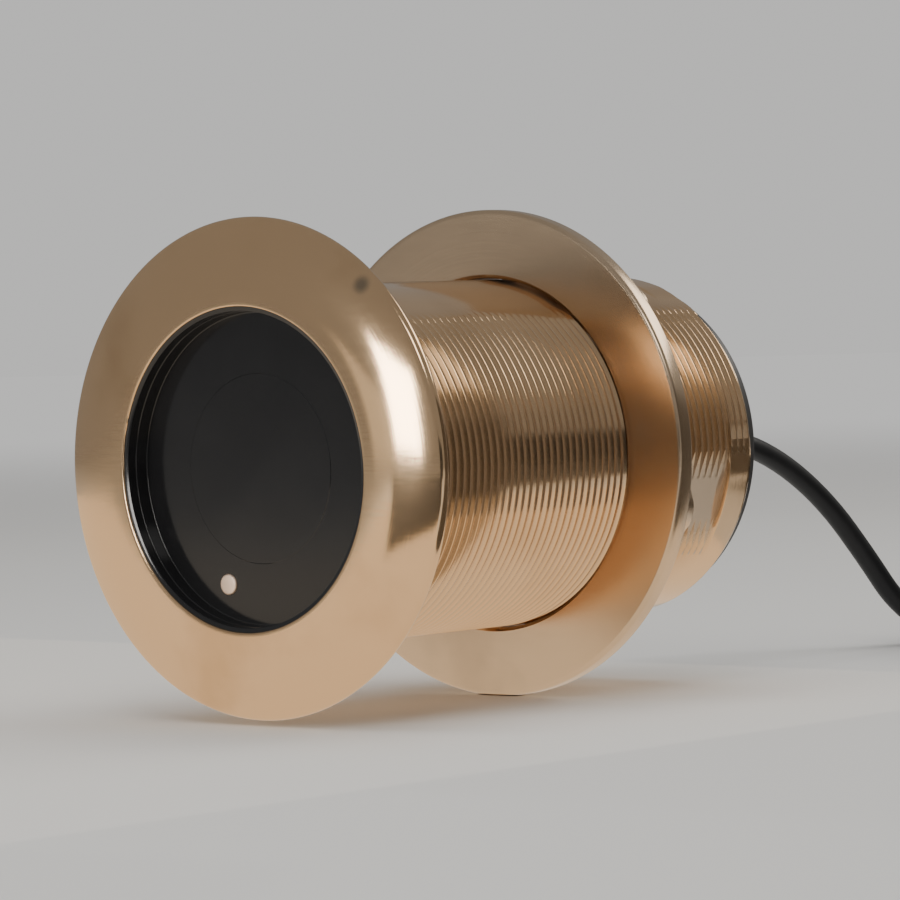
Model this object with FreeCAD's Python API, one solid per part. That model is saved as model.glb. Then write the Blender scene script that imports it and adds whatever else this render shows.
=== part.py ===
import FreeCAD, Part
import math
import os

# Sonar transducer for a boat's hull: a bronze mushroom-head housing with a long threaded stem,
# its hull nut, a recessed black sound window, and a cable that ends in a round plug.
# Frame, in millimetres: +X runs along the stem from the face to the cable, +Z is up, and the
# origin is on the stem's axis in the plane of the flange's back face, which seats on the hull.
# An angle round the stem is 0 towards -Y and 90 towards +Z.

V = FreeCAD.Vector
AXIS_X = V(1, 0, 0)
AXIS_Z = V(0, 0, 1)


def place_at(radius, angle):
    """The y and z of a point at a radius and an angle round the stem."""
    a = math.radians(angle)
    return -radius * math.cos(a), radius * math.sin(a)


# How far a cut reaches past the face that it opens
past = 1.0

# Housing casting
stem_r = 44.45
stem_end_x = 140.5
stem_chamfer = 1.6
stem_root_fillet = 0.8
flange_r = 61.0
flange_thick = 7.0
flange_edge_round = 1.6
face_land = 1.5
lip_round = 0.4
pocket_floor_x = 6.0
pocket_step = 1.9
stem_wall = 6.95
strip_angle = 70.0
strip_width_deg = 42.0
strip_depth = 0.45
flat_angle = -18.0
flat_depth = 1.9
flat_start_x = 101.0
flat_end_x = 130.0

# Hull nut
nut_x = 86.0
nut_rim_reach = 17.85
nut_rim_thick = 4.8
nut_rim_chamfer = 1.2
nut_rim_back_chamfer = 0.5
nut_hub_wall = 6.75
nut_hub_inset = 4.5
nut_hub_length = 8.5
nut_hex_corner_angle = -16.0
nut_hub_chamfer = 0.4
nut_clearance = 0.3
nut_bore_chamfer = 1.0

# Sound window, moulded in the pocket
window_front_gap = 0.45
window_rim_wall = 0.4
window_ledge_depth = 3.66
window_upper_draft = 0.25
window_ledge = 0.3
window_lower_draft = 0.1
window_floor_round = 0.45
window_disc_r = 23.0
window_disc_rise = 0.35

# Temperature sensor
button_inset = 8.93
button_angle = -111.77
button_r = 2.65
button_crown = 0.7
bead_r = 1.6
bead_length = 4.0
sensor_wire_r = 0.4
sensor_wire_pitch = 1.6

# Tilted element and its cup
tilt_deg = 12.0
wedge_thin_edge = 0.8
foil_thick = 0.15
foil_margin = 0.5
cup_clearance = 11.0
ceramic_thick = 11.0
cork_back_thick = 4.0
cork_side_thick = 2.0
cup_wall = 1.5
lead_r = 0.6
lead_tab_margin = 0.8
rear_lead_offset = 10.0
lead_straight = 6.0

# Potting, board and transformer
front_potting_end_x = 46.0
board_gap = 12.0
board_clearance = 3.5
board_thick = 1.6
post_r = 2.5
post_inset = 7.0
post_count = 3
post_start_angle = 30.0
core_inner_r = 8.0
core_outer_r = 15.0
core_length = 9.0
winding_wire = 1.2
winding_turn_count = 18
winding_gap = 0.05
resistor_r = 1.6
resistor_length = 7.0
resistor_y = 0.0
resistor_z = 25.0
resistor_leg_r = 0.35
resistor_leg_reach = 3.0
resistor_leg_depth = 0.7
capacitor_height = 9.0
capacitor_length = 13.0
capacitor_width = 6.0
capacitor_z = -26.0
capacitor_round = 1.0

# Rear end and cable entry
rear_potting_thick = 15.0
cap_spigot = 3.0
cap_thick = 3.0
cap_inset = 2.05
cap_edge_round = 0.7
cable_r = 3.0
cable_inside_x = 112.0
core_wire_r = 0.6
core_wire_offset = 1.2
core_wire_straight = 10.0
core_wire_fan = 16.0
core_pad_straight = 13.0
core_pad_y = 21.0
core_pad_z = 13.0
relief_base_r = 9.0
relief_base_thick = 2.0
relief_root_r = 6.5
relief_tip_r = 4.0
relief_length = 25.0
relief_groove_count = 5
relief_groove_width = 1.2
relief_groove_depth = 1.3
relief_least_wall = 0.3

# Cable coil, its ties and the plug that lies on it
coil_x = 315.0
coil_y = -78.0
coil_mean_r = 54.0
coil_column_count = 5
coil_layer_count = 6
coil_corner_round = 2.5
tie_angles = (50.0, 150.0, 215.0)
tie_width = 10.0
tie_thick = 1.2
plug_rest_gap = 0.3
boot_length = 22.0
boot_tip_r = 3.9
boot_root_r = 6.8
boot_groove_count = 4
shell_r = 8.5
shell_length = 26.0
shell_collar_length = 3.0
shell_grip_count = 6
shell_grip_depth = 0.5
shell_grip_width = 3.0
shell_grip_margin = 2.0
nose_r = 6.4
nose_length = 9.0
ring_r = 11.0
ring_length = 16.0
ring_clearance = 0.1
ring_lip = 1.4
ring_thread_wall = 1.6
ring_grip_count = 16
ring_grip_r = 0.9
ring_grip_out = 0.36
ring_grip_margin = 1.5
contact_count = 7
contact_r = 0.6
contact_length = 6.3
contact_circle_r = 3.8
contact_proud = 0.4

# Tail of the cable, an arc that rises from the coil to the plug
tail_bend_r = 45.0
tail_forward = 15.0
tail_right = 9.0
tail_start_angle = 47.5
tail_step_angle = 25.0
tail_arc_count = 6
plug_forward = 7.0
plug_right = 53.0

# Sizes that follow from the ones above
bore_r = stem_r - stem_wall
pocket_r = bore_r + pocket_step
nut_r = stem_r + nut_rim_reach
nut_hex_flats = 2 * (stem_r + nut_hub_wall)
cup_r = bore_r - cup_clearance
sleeve_r = cup_r - cup_wall
ceramic_r = sleeve_r - cork_side_thick
board_r = bore_r - board_clearance
post_circle_r = board_r - post_inset
cap_r = stem_r - cap_inset
button_y, button_z = place_at(pocket_r - button_inset, button_angle)
floor_z = -nut_r
relief_tip_x = stem_end_x + cap_thick + relief_length
coil_base_z = floor_z + tie_thick
coil_half_width = coil_column_count * cable_r
coil_height = coil_layer_count * 2 * cable_r
coil_top_z = coil_base_z + coil_height
coil_entry_y = coil_y + coil_mean_r + coil_half_width - cable_r

# The cable's route from the strain relief to the coil, point by point
cable_route = [
    V(relief_tip_x, 0, 0),
    V(188, 0, 0),
    V(211, 0, -7),
    V(232, -1, -20),
    V(247, -4, -37),
    V(258, -5.5, -50),
    V(coil_x - 40, coil_entry_y + 4, floor_z + cable_r),
    V(coil_x - 20, coil_entry_y + 1, floor_z + cable_r + tie_thick / 2),
]

# The tail's points
plug_z = coil_top_z + ring_r + plug_rest_gap
tail_rise = plug_z - coil_top_z + cable_r
tail_route = []
for k in range(tail_arc_count):
    a = math.radians(tail_start_angle - tail_step_angle * k)
    tail_route.append(V(
        coil_x + tail_forward + tail_bend_r * math.cos(a),
        coil_y - tail_right + tail_bend_r * math.sin(a),
        plug_z - tail_rise * (1 - k / tail_arc_count) ** 2))
tail_route.append(V(coil_x + plug_forward, coil_y - plug_right, plug_z))

os.makedirs("parts", exist_ok=True)


def save(name, shape):
    """Writes one sub-part and says how big it is."""
    shape.exportStep(f"parts/{name}.step")
    print(f"{name:22s} solids {len(shape.Solids):3d}  volume {shape.Volume:12.1f}")


def cylinder_x(radius, start_x, end_x, y=0.0, z=0.0):
    """A round bar along X."""
    return Part.makeCylinder(radius, end_x - start_x, V(start_x, y, z), AXIS_X)


def turn(edges):
    """A solid of revolution round the X axis from a closed profile in the XY plane."""
    profile = Part.Face(Part.Wire(Part.__sortEdges__(edges)))
    return profile.revolve(V(0, 0, 0), AXIS_X, 360)


def closed_lines(points):
    """The edges of a closed polygon of (x, radius) pairs."""
    corners = [V(x, radius, 0) for x, radius in points]
    pairs = zip(corners, corners[1:] + corners[:1])
    return [Part.makeLine(a, b) for a, b in pairs]


def around(shape, angle):
    """Turns a shape made at angle 0, on the -Y side, to an angle round the stem."""
    turned = shape.copy()
    turned.rotate(V(0, 0, 0), AXIS_X, -angle)
    return turned


def swept_wire(points, radius):
    """A round wire along straight runs joined by tangent arcs; returns solid, length, radii."""
    edges = []
    radii = []
    start = points[0]
    for before, corner, after in zip(points, points[1:], points[2:]):
        into = (corner - before).normalize()
        out = (after - corner).normalize()
        half_turn = into.getAngle(out) / 2
        shorter = min((corner - before).Length, (after - corner).Length)
        trim = 0.45 * shorter
        bend = trim / math.tan(half_turn)
        inward = (out - into).normalize()
        arc_start = corner - into * trim
        arc_end = corner + out * trim
        middle = corner + inward * (bend / math.cos(half_turn) - bend)
        edges.append(Part.makeLine(start, arc_start))
        edges.append(Part.Arc(arc_start, middle, arc_end).toShape())
        radii.append(bend)
        start = arc_end
    edges.append(Part.makeLine(start, points[-1]))
    path = Part.Wire(edges)
    first = (points[1] - points[0]).normalize()
    section = Part.Wire(Part.makeCircle(radius, points[0], first))
    tube = path.makePipeShell([section], True, True)
    length = path.Length
    return tube, length, radii


def grooved_taper(start_x, length, tip_r, root_r, grooves, width, depth):
    """A tapered rubber sleeve along +X with grooves that let it bend."""
    def radius_at(x):
        return root_r + (tip_r - root_r) * (x - start_x) / length

    body = turn(closed_lines([
        (start_x, 0), (start_x, root_r), (start_x + length, tip_r), (start_x + length, 0)]))
    pitch = length / (grooves + 1)
    for k in range(1, grooves + 1):
        x = start_x + k * pitch
        floor_r = max(radius_at(x) - depth, cable_r + relief_least_wall)
        body = body.cut(cylinder_x(root_r + past, x - width / 2, x + width / 2).cut(
            cylinder_x(floor_r, x - width, x + width)))
    return body


def housing():
    """The one-piece bronze casting: domed flange, recess, bore and stem with its flats."""
    front_x = -flange_thick
    edge_x = -flange_edge_round
    edge_r = flange_r - flange_edge_round
    land_r = pocket_r + lip_round + face_land
    reach = edge_r - land_r
    rise = flange_thick - flange_edge_round
    span_squared = rise ** 2 + reach ** 2 - flange_edge_round ** 2
    dome_r = span_squared / (2 * (flange_thick - 2 * flange_edge_round))
    dome_x = front_x + dome_r
    dome_angle = math.asin(reach / (dome_r - flange_edge_round))

    def on_dome(a):
        return V(dome_x - dome_r * math.cos(a), land_r + dome_r * math.sin(a), 0)

    def on_edge(a):
        return V(edge_x - flange_edge_round * math.cos(a), edge_r + flange_edge_round * math.sin(a), 0)

    lip_in = V(front_x + lip_round, pocket_r, 0)
    lip_out = V(front_x, pocket_r + lip_round, 0)
    lip_arc_turn = lip_round * math.cos(math.radians(45))
    lip_mid = V(front_x + lip_round - lip_arc_turn, pocket_r + lip_round - lip_arc_turn, 0)
    back_edge = V(0, edge_r, 0)
    root_out = V(0, stem_r + stem_root_fillet, 0)
    root_in = V(stem_root_fillet, stem_r, 0)
    root_turn = stem_root_fillet * (1 - math.cos(math.radians(45)))
    root_mid = V(root_turn, stem_r + root_turn, 0)
    thread_end = V(stem_end_x - stem_chamfer, stem_r, 0)
    end_out = V(stem_end_x, stem_r - stem_chamfer, 0)
    end_in = V(stem_end_x, bore_r, 0)
    shoulder_in = V(pocket_floor_x, bore_r, 0)
    shoulder_out = V(pocket_floor_x, pocket_r, 0)
    body = turn([
        Part.Arc(lip_in, lip_mid, lip_out).toShape(),
        Part.makeLine(lip_out, on_dome(0)),
        Part.Arc(on_dome(0), on_dome(dome_angle / 2), on_dome(dome_angle)).toShape(),
        Part.Arc(on_edge(dome_angle), on_edge((dome_angle + math.pi) / 2), back_edge).toShape(),
        Part.makeLine(back_edge, root_out),
        Part.Arc(root_out, root_mid, root_in).toShape(),
        Part.makeLine(root_in, thread_end),
        Part.makeLine(thread_end, end_out),
        Part.makeLine(end_out, end_in),
        Part.makeLine(end_in, shoulder_in),
        Part.makeLine(shoulder_in, shoulder_out),
        Part.makeLine(shoulder_out, lip_in),
    ])
    for side in (0, 180):
        body = body.cut(around(parting_strip(), strip_angle + side))
        body = body.cut(around(wrench_flat(), flat_angle + side))
    return body


def parting_strip():
    """What is missing from the thread along the mould's parting line."""
    start_x = stem_root_fillet
    strip = cylinder_x(stem_r + past, start_x, stem_end_x + past)
    strip = strip.cut(cylinder_x(stem_r - strip_depth, start_x - past, stem_end_x + 2 * past))
    half = math.radians(strip_width_deg / 2)
    far = 2 * stem_r
    edge = far * math.tan(half)
    sector = Part.Face(Part.makePolygon([
        V(start_x, 0, 0), V(start_x, -far, edge), V(start_x, -far, -edge), V(start_x, 0, 0)]))
    return strip.common(sector.extrude(V(stem_end_x + past - start_x, 0, 0)))


def wrench_flat():
    """The block that a wrench flat takes off the stem."""
    length = flat_end_x - flat_start_x
    width = 2 * stem_r
    return Part.makeBox(length, flat_depth + past, width, V(flat_start_x, -stem_r - past, -width / 2))


def hull_nut():
    """The bronze hull nut: a round flange with a hexagon behind it."""
    rim_back = nut_x + nut_rim_thick
    hub_back = rim_back + nut_hub_length
    bore = stem_r + nut_clearance
    rim = turn(closed_lines([
        (nut_x, 0), (nut_x, nut_r - nut_rim_chamfer), (nut_x + nut_rim_chamfer, nut_r),
        (rim_back - nut_rim_back_chamfer, nut_r), (rim_back, nut_r - nut_rim_back_chamfer),
        (rim_back, 0)]))
    corner_r = nut_hex_flats / 2 / math.cos(math.radians(30))
    corners = []
    for k in range(7):
        y, z = place_at(corner_r, nut_hex_corner_angle + 60 * k)
        corners.append(V(rim_back, y, z))
    hexagon = Part.Face(Part.makePolygon(corners)).extrude(V(nut_hub_length, 0, 0))
    crown_r = nut_r - nut_hub_inset
    crown = turn(closed_lines([
        (rim_back, 0), (rim_back, crown_r), (hub_back - nut_hub_chamfer, crown_r),
        (hub_back, crown_r - nut_hub_chamfer), (hub_back, 0)]))
    nut = rim.fuse(hexagon.common(crown)).removeSplitter()
    bore_cut = turn(closed_lines([
        (nut_x - past, 0), (nut_x - past, bore + nut_bore_chamfer + past), (nut_x + nut_bore_chamfer, bore),
        (hub_back - nut_bore_chamfer, bore), (hub_back + past, bore + nut_bore_chamfer + past),
        (hub_back + past, 0)]))
    return nut.cut(bore_cut)


def sound_window():
    """The black moulded window: a cup with a ledge in its wall and a raised disc on its face."""
    front_x = -flange_thick + window_front_gap
    ledge_x = -flange_thick + window_ledge_depth
    rim_r = pocket_r - window_rim_wall
    upper_r = rim_r - window_upper_draft
    lower_top_r = upper_r - window_ledge
    lower_r = lower_top_r - window_lower_draft
    cup = turn(closed_lines([
        (front_x, pocket_r), (front_x, rim_r), (ledge_x, upper_r), (ledge_x, lower_top_r),
        (-window_floor_round, lower_r), (0, lower_r - window_floor_round),
        (0, window_disc_r), (-window_disc_rise, window_disc_r - window_disc_rise),
        (-window_disc_rise, 0), (pocket_floor_x, 0), (pocket_floor_x, pocket_r)]))
    return cup.cut(cylinder_x(button_r, -past, pocket_floor_x + past, button_y, button_z))


def temperature_button():
    """The domed bronze sensor button that goes through the window."""
    crown_r = (button_r ** 2 + button_crown ** 2) / (2 * button_crown)
    dome = Part.makeSphere(crown_r, V(crown_r - button_crown, button_y, button_z))
    head = dome.common(cylinder_x(button_r, -button_crown - past, 0, button_y, button_z))
    return head.fuse(cylinder_x(button_r, 0, pocket_floor_x, button_y, button_z)).removeSplitter()


def thermistor_bead():
    """The temperature sensor's bead, bonded to the back of the button."""
    return cylinder_x(bead_r, pocket_floor_x, pocket_floor_x + bead_length, button_y, button_z)


def thermistor_wires():
    """The sensor's two wires, straight to the board."""
    start_x = pocket_floor_x + bead_length
    wires = []
    for side in (-1, 1):
        y = button_y + side * sensor_wire_pitch / 2
        wires.append(cylinder_x(sensor_wire_r, start_x, board_x, y, button_z))
    return Part.makeCompound(wires)


tilt = math.radians(tilt_deg)
element_x = pocket_floor_x + wedge_thin_edge + cup_r * math.sin(tilt)
ceramic_back = foil_thick + ceramic_thick
cork_start = ceramic_back + foil_thick
cup_floor = cork_start + cork_back_thick
cup_back = cup_floor + cup_wall
board_x = front_potting_end_x + board_gap
board_back_x = board_x + board_thick
front_lead_offset = -(ceramic_r + cork_side_thick / 2)


def tilted(shape):
    """Moves a shape made along X from the origin to the tilted element's place."""
    moved = shape.copy()
    moved.rotate(V(0, 0, 0), V(0, 1, 0), -tilt_deg)
    moved.translate(V(element_x, 0, 0))
    return moved


def tilted_point(depth, offset):
    """A point of the element: its depth behind the wedge and its height across the disc."""
    x = element_x + depth * math.cos(tilt) - offset * math.sin(tilt)
    return V(x, 0, depth * math.sin(tilt) + offset * math.cos(tilt))


def element_wedge():
    """The hard wedge that tilts the element behind the window."""
    block = tilted(cylinder_x(cup_r, -cup_r, 0))
    side = 4 * cup_r
    return block.common(Part.makeBox(side, side, side, V(pocket_floor_x, -side / 2, -side / 2)))


def front_electrode():
    """The silver foil under the ceramic, with the tab that its lead is soldered to."""
    foil = cylinder_x(ceramic_r - foil_margin, 0, foil_thick)
    tab_width = 2 * (lead_r + lead_tab_margin)
    tab_end = -front_lead_offset + lead_r
    tab = Part.makeBox(foil_thick, tab_width, tab_end, V(0, -tab_width / 2, -tab_end))
    return tilted(foil.fuse(tab).removeSplitter())


def ceramic_disc():
    """The piezoelectric ceramic."""
    return tilted(cylinder_x(ceramic_r, foil_thick, ceramic_back))


def rear_electrode():
    """The silver foil behind the ceramic."""
    return tilted(cylinder_x(ceramic_r - foil_margin, ceramic_back, cork_start))


def cork_backing():
    """The cork pad behind the ceramic, with the hole for the rear lead."""
    pad = cylinder_x(ceramic_r, cork_start, cup_floor)
    return tilted(pad.cut(cylinder_x(lead_r, cork_start - past, cup_floor + past, 0, rear_lead_offset)))


def cork_sleeve():
    """The cork ring round the ceramic, with the hole for the front lead."""
    ring = cylinder_x(sleeve_r, foil_thick, cup_floor).cut(cylinder_x(ceramic_r, 0, cup_floor + past))
    return tilted(ring.cut(cylinder_x(lead_r, 0, cup_floor + past, 0, front_lead_offset)))


def element_cup():
    """The plastic cup that holds the element in its cork."""
    cup = cylinder_x(cup_r, 0, cup_back).cut(cylinder_x(sleeve_r, -past, cup_floor))
    for offset in (rear_lead_offset, front_lead_offset):
        cup = cup.cut(cylinder_x(lead_r, cup_floor - past, cup_back + past, 0, offset))
    return tilted(cup)


def element_lead(start_depth, offset):
    """One of the element's two leads, from its foil to the board."""
    leave = tilted_point(cup_back + lead_straight, offset)
    route = [
        tilted_point(start_depth, offset),
        leave,
        V(board_x, leave.y, leave.z),
    ]
    return swept_wire(route, lead_r)[0]


def front_potting(buried):
    """The hard resin round the cup and its wires."""
    block = cylinder_x(bore_r, pocket_floor_x, front_potting_end_x)
    cup_room = tilted(cylinder_x(cup_r, 0, cup_back))
    return block.cut([cup_room] + buried)


def board_posts():
    """The posts that carry the board on the potting."""
    posts = []
    for k in range(post_count):
        y, z = place_at(post_circle_r, post_start_angle + 360 / post_count * k)
        posts.append(cylinder_x(post_r, front_potting_end_x, board_x, y, z))
    return Part.makeCompound(posts)


def circuit_board():
    """The round board that carries the matching transformer."""
    return cylinder_x(board_r, board_x, board_back_x)


def transformer_core():
    """The ferrite ring of the matching transformer."""
    start_x = board_back_x + winding_wire
    ring = cylinder_x(core_outer_r, start_x, start_x + core_length)
    return ring.cut(cylinder_x(core_inner_r, start_x - past, start_x + core_length + past))


def transformer_winding():
    """The turns of flat copper wire round the ferrite ring."""
    inner_x = board_back_x + winding_wire - winding_gap
    inner_length = core_length + 2 * winding_gap
    inner_reach = core_outer_r - core_inner_r + 2 * winding_gap
    outer = Part.makeBox(
        core_length + 2 * winding_wire, inner_reach + 2 * (winding_wire - winding_gap), winding_wire,
        V(board_back_x, -core_outer_r - winding_wire, -winding_wire / 2))
    inner = Part.makeBox(
        inner_length, inner_reach, 2 * winding_wire,
        V(inner_x, -core_outer_r - winding_gap, -winding_wire))
    loop = outer.cut(inner)
    return Part.makeCompound([around(loop, 360 / winding_turn_count * k) for k in range(winding_turn_count)])


def tuning_resistor():
    """A small resistor that stands on the board on its bent legs."""
    axis_x = board_back_x + resistor_r
    half = resistor_length / 2
    start = V(axis_x, resistor_y - half, resistor_z)
    body = Part.makeCylinder(resistor_r, resistor_length, start, V(0, 1, 0))
    for side in (-1, 1):
        inner = V(axis_x, resistor_y + side * (half - resistor_leg_depth), resistor_z)
        elbow = V(axis_x, resistor_y + side * (half + resistor_leg_reach), resistor_z)
        foot = V(board_back_x, elbow.y, resistor_z)
        body = body.fuse(swept_wire([inner, elbow, foot], resistor_leg_r)[0])
    return body.removeSplitter()


def tuning_capacitor():
    """A block capacitor on the board."""
    corner = V(board_back_x, -capacitor_length / 2, capacitor_z - capacitor_width / 2)
    block = Part.makeBox(capacitor_height, capacitor_length, capacitor_width, corner)
    return block.makeFillet(capacitor_round, [e for e in block.Edges if e.BoundBox.XMin > board_back_x])


def cable_inner_end():
    """The cable's jacket inside the housing."""
    return cylinder_x(cable_r, cable_inside_x, stem_end_x + cap_thick)


def core_wires():
    """The cable's four wires, from the end of its jacket to the board."""
    wires = []
    for side_y in (-1, 1):
        for side_z in (-1, 1):
            y = side_y * core_wire_offset
            z = side_z * core_wire_offset
            pad_y = side_y * core_pad_y
            pad_z = side_z * core_pad_z
            bend_x = cable_inside_x - core_wire_straight
            route = [
                V(cable_inside_x, y, z),
                V(bend_x, y, z),
                V(bend_x - core_wire_fan, (y + 2 * pad_y) / 3, (z + 2 * pad_z) / 3),
                V(board_back_x + core_pad_straight, pad_y, pad_z),
                V(board_back_x, pad_y, pad_z),
            ]
            wires.append(swept_wire(route, core_wire_r)[0])
    return Part.makeCompound(wires)


def rear_potting():
    """The resin plug that seals the stem round the cable."""
    end_x = stem_end_x - cap_spigot
    start_x = end_x - rear_potting_thick
    return cylinder_x(bore_r, start_x, end_x).cut(cylinder_x(cable_r, start_x - past, end_x + past))


def end_cap():
    """The black cap over the stem's end."""
    out_x = stem_end_x + cap_thick
    disc = cylinder_x(cap_r, stem_end_x, out_x)
    rim = [e for e in disc.Edges if e.BoundBox.XMin > stem_end_x and e.BoundBox.YMax > cap_r / 2]
    disc = disc.makeFillet(cap_edge_round, rim)
    cap = disc.fuse(cylinder_x(bore_r, stem_end_x - cap_spigot, stem_end_x)).removeSplitter()
    return cap.cut(cylinder_x(cable_r, stem_end_x - cap_spigot - past, out_x + past))


def strain_relief():
    """The grooved rubber sleeve where the cable leaves the cap."""
    start_x = stem_end_x + cap_thick
    base = cylinder_x(relief_base_r, start_x, start_x + relief_base_thick)
    sleeve = grooved_taper(
        start_x + relief_base_thick, relief_length - relief_base_thick, relief_tip_r, relief_root_r,
        relief_groove_count, relief_groove_width, relief_groove_depth)
    return base.fuse(sleeve).removeSplitter()


def cable_coil():
    """The room that the coiled cable takes, as one ring."""
    base = V(coil_x, coil_y, coil_base_z)
    ring = Part.makeCylinder(coil_mean_r + coil_half_width, coil_height, base)
    ring = ring.cut(Part.makeCylinder(coil_mean_r - coil_half_width, coil_height, base))
    return ring.makeFillet(coil_corner_round, [e for e in ring.Edges if e.Closed])


def coil_ties(coil):
    """The bands that hold the coil together."""
    inner = coil_mean_r - coil_half_width
    reach = 2 * coil_half_width + 2 * tie_thick
    ties = []
    for angle in tie_angles:
        band = Part.makeBox(
            reach, tie_width, coil_height + 2 * tie_thick,
            V(inner - tie_thick, -tie_width / 2, coil_base_z - tie_thick))
        band.rotate(V(0, 0, 0), AXIS_Z, angle)
        band.translate(V(coil_x, coil_y, 0))
        ties.append(band.cut(coil))
    return Part.makeCompound(ties)


def on_plug(shape):
    """Moves a piece made along +X from the origin to the plug's place on the coil."""
    moved = shape.copy()
    moved.rotate(V(0, 0, 0), AXIS_Z, 180)
    moved.translate(tail_route[-1])
    return moved


def plug_boot():
    """The plug's grooved rubber boot."""
    taper = grooved_taper(
        -boot_length, boot_length, boot_tip_r, boot_root_r, boot_groove_count,
        relief_groove_width, relief_groove_depth)
    taper.rotate(V(0, 0, 0), AXIS_Z, 180)
    return on_plug(taper)


def plug_shell():
    """The plug's body: a ribbed grip, a collar that holds the ring, and the barrel under it."""
    start_x = boot_length
    grip_end = start_x + shell_length - ring_length + ring_lip
    barrel_r = ring_r - ring_thread_wall - ring_lip
    grip = cylinder_x(shell_r, start_x, grip_end)
    for k in range(shell_grip_count):
        groove = Part.makeBox(
            grip_end - start_x - 2 * shell_grip_margin, shell_r, shell_grip_width,
            V(start_x + shell_grip_margin, shell_grip_depth - 2 * shell_r, -shell_grip_width / 2))
        grip = grip.cut(around(groove, 360 / shell_grip_count * k))
    barrel = cylinder_x(barrel_r, grip_end, start_x + shell_length)
    collar = cylinder_x(
        barrel_r + ring_lip - ring_clearance, grip_end + ring_lip + 2 * ring_clearance,
        grip_end + ring_lip + shell_collar_length)
    body = grip.fuse([barrel, collar]).removeSplitter()
    nose_room = cylinder_x(nose_r, start_x + shell_length - nose_length / 2, start_x + shell_length + past)
    return on_plug(body.cut(nose_room))


def plug_insert():
    """The plug's insulating nose."""
    start_x = boot_length + shell_length - nose_length / 2
    return on_plug(cylinder_x(nose_r, start_x, start_x + nose_length).cut(contact_pins()))


def contact_pins():
    """The contacts as drawn along +X, one in the middle and the rest round it."""
    end_x = boot_length + shell_length + nose_length / 2 + contact_proud
    start_x = end_x - contact_length
    pins = [cylinder_x(contact_r, start_x, end_x)]
    for k in range(contact_count - 1):
        y, z = place_at(contact_circle_r, 360 / (contact_count - 1) * k)
        pins.append(cylinder_x(contact_r, start_x, end_x, y, z))
    return Part.makeCompound(pins)


def coupling_ring():
    """The knurled ring that turns on the plug and screws onto the socket."""
    start_x = boot_length + shell_length - ring_length + ring_lip + ring_clearance
    end_x = start_x + ring_length
    barrel_r = ring_r - ring_thread_wall - ring_lip
    ring = cylinder_x(ring_r, start_x, end_x)
    ring = ring.cut(cylinder_x(barrel_r + ring_clearance, start_x - past, end_x + past))
    ring = ring.cut(cylinder_x(barrel_r + ring_lip, start_x + ring_lip, end_x + past))
    for k in range(ring_grip_count):
        y, z = place_at(ring_r + ring_grip_out, 360 / ring_grip_count * k)
        ring = ring.cut(cylinder_x(ring_grip_r, start_x + ring_grip_margin, end_x - ring_grip_margin, y, z))
    return on_plug(ring)


def report_wire(name, route):
    """Makes a stretch of cable and prints its bends and how true its volume is."""
    tube, length, radii = swept_wire(route, cable_r)
    share = tube.Volume / (math.pi * cable_r ** 2 * length)
    print(f"{name} length {length:.1f}, volume over section times length {share:.4f}")
    print(f"{name} bend radii " + ", ".join(f"{r:.0f}" for r in radii))
    return tube


wedge = element_wedge()
bead = thermistor_bead()
sensor_wires = thermistor_wires()
front_lead = element_lead(foil_thick, front_lead_offset)
rear_lead = element_lead(cork_start, rear_lead_offset)
coil = cable_coil()

save("housing", housing())
save("hull_nut", hull_nut())
save("sound_window", sound_window())
save("temperature_button", temperature_button())
save("thermistor_bead", bead)
save("thermistor_wires", sensor_wires)
save("element_wedge", wedge)
save("front_electrode", front_electrode())
save("ceramic_disc", ceramic_disc())
save("rear_electrode", rear_electrode())
save("cork_backing", cork_backing())
save("cork_sleeve", cork_sleeve())
save("element_cup", element_cup())
save("front_lead", front_lead)
save("rear_lead", rear_lead)
save("front_potting", front_potting([wedge, bead, sensor_wires, front_lead, rear_lead]))
save("board_posts", board_posts())
save("circuit_board", circuit_board())
save("transformer_core", transformer_core())
save("transformer_winding", transformer_winding())
save("tuning_resistor", tuning_resistor())
save("tuning_capacitor", tuning_capacitor())
save("cable_inner_end", cable_inner_end())
save("core_wires", core_wires())
save("rear_potting", rear_potting())
save("end_cap", end_cap())
save("strain_relief", strain_relief())
save("cable", report_wire("cable", cable_route))
save("cable_coil", coil)
save("coil_ties", coil_ties(coil))
save("cable_tail", report_wire("cable_tail", tail_route))
save("plug_boot", plug_boot())
save("plug_shell", plug_shell())
save("plug_insert", plug_insert())
save("plug_contacts", on_plug(contact_pins()))
save("coupling_ring", coupling_ring())
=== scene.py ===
import math
import bmesh
import bpy
from mathutils import Matrix, Vector


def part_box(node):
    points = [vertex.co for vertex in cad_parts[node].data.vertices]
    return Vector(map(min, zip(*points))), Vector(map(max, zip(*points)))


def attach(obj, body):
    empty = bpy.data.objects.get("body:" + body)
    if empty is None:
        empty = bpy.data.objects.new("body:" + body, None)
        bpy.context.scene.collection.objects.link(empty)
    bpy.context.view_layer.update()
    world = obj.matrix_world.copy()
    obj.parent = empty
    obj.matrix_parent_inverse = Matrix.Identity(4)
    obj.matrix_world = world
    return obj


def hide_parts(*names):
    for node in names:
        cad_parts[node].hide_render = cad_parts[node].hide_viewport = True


# The looks of the sonar transducer: bronze casting, hull nut, sound window, cable and plug.
# Lengths are in metres. +X runs along the stem from the face to the cable, and +Z is up.
# An angle round the stem is 0 towards -Y and 90 towards +Z.

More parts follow.
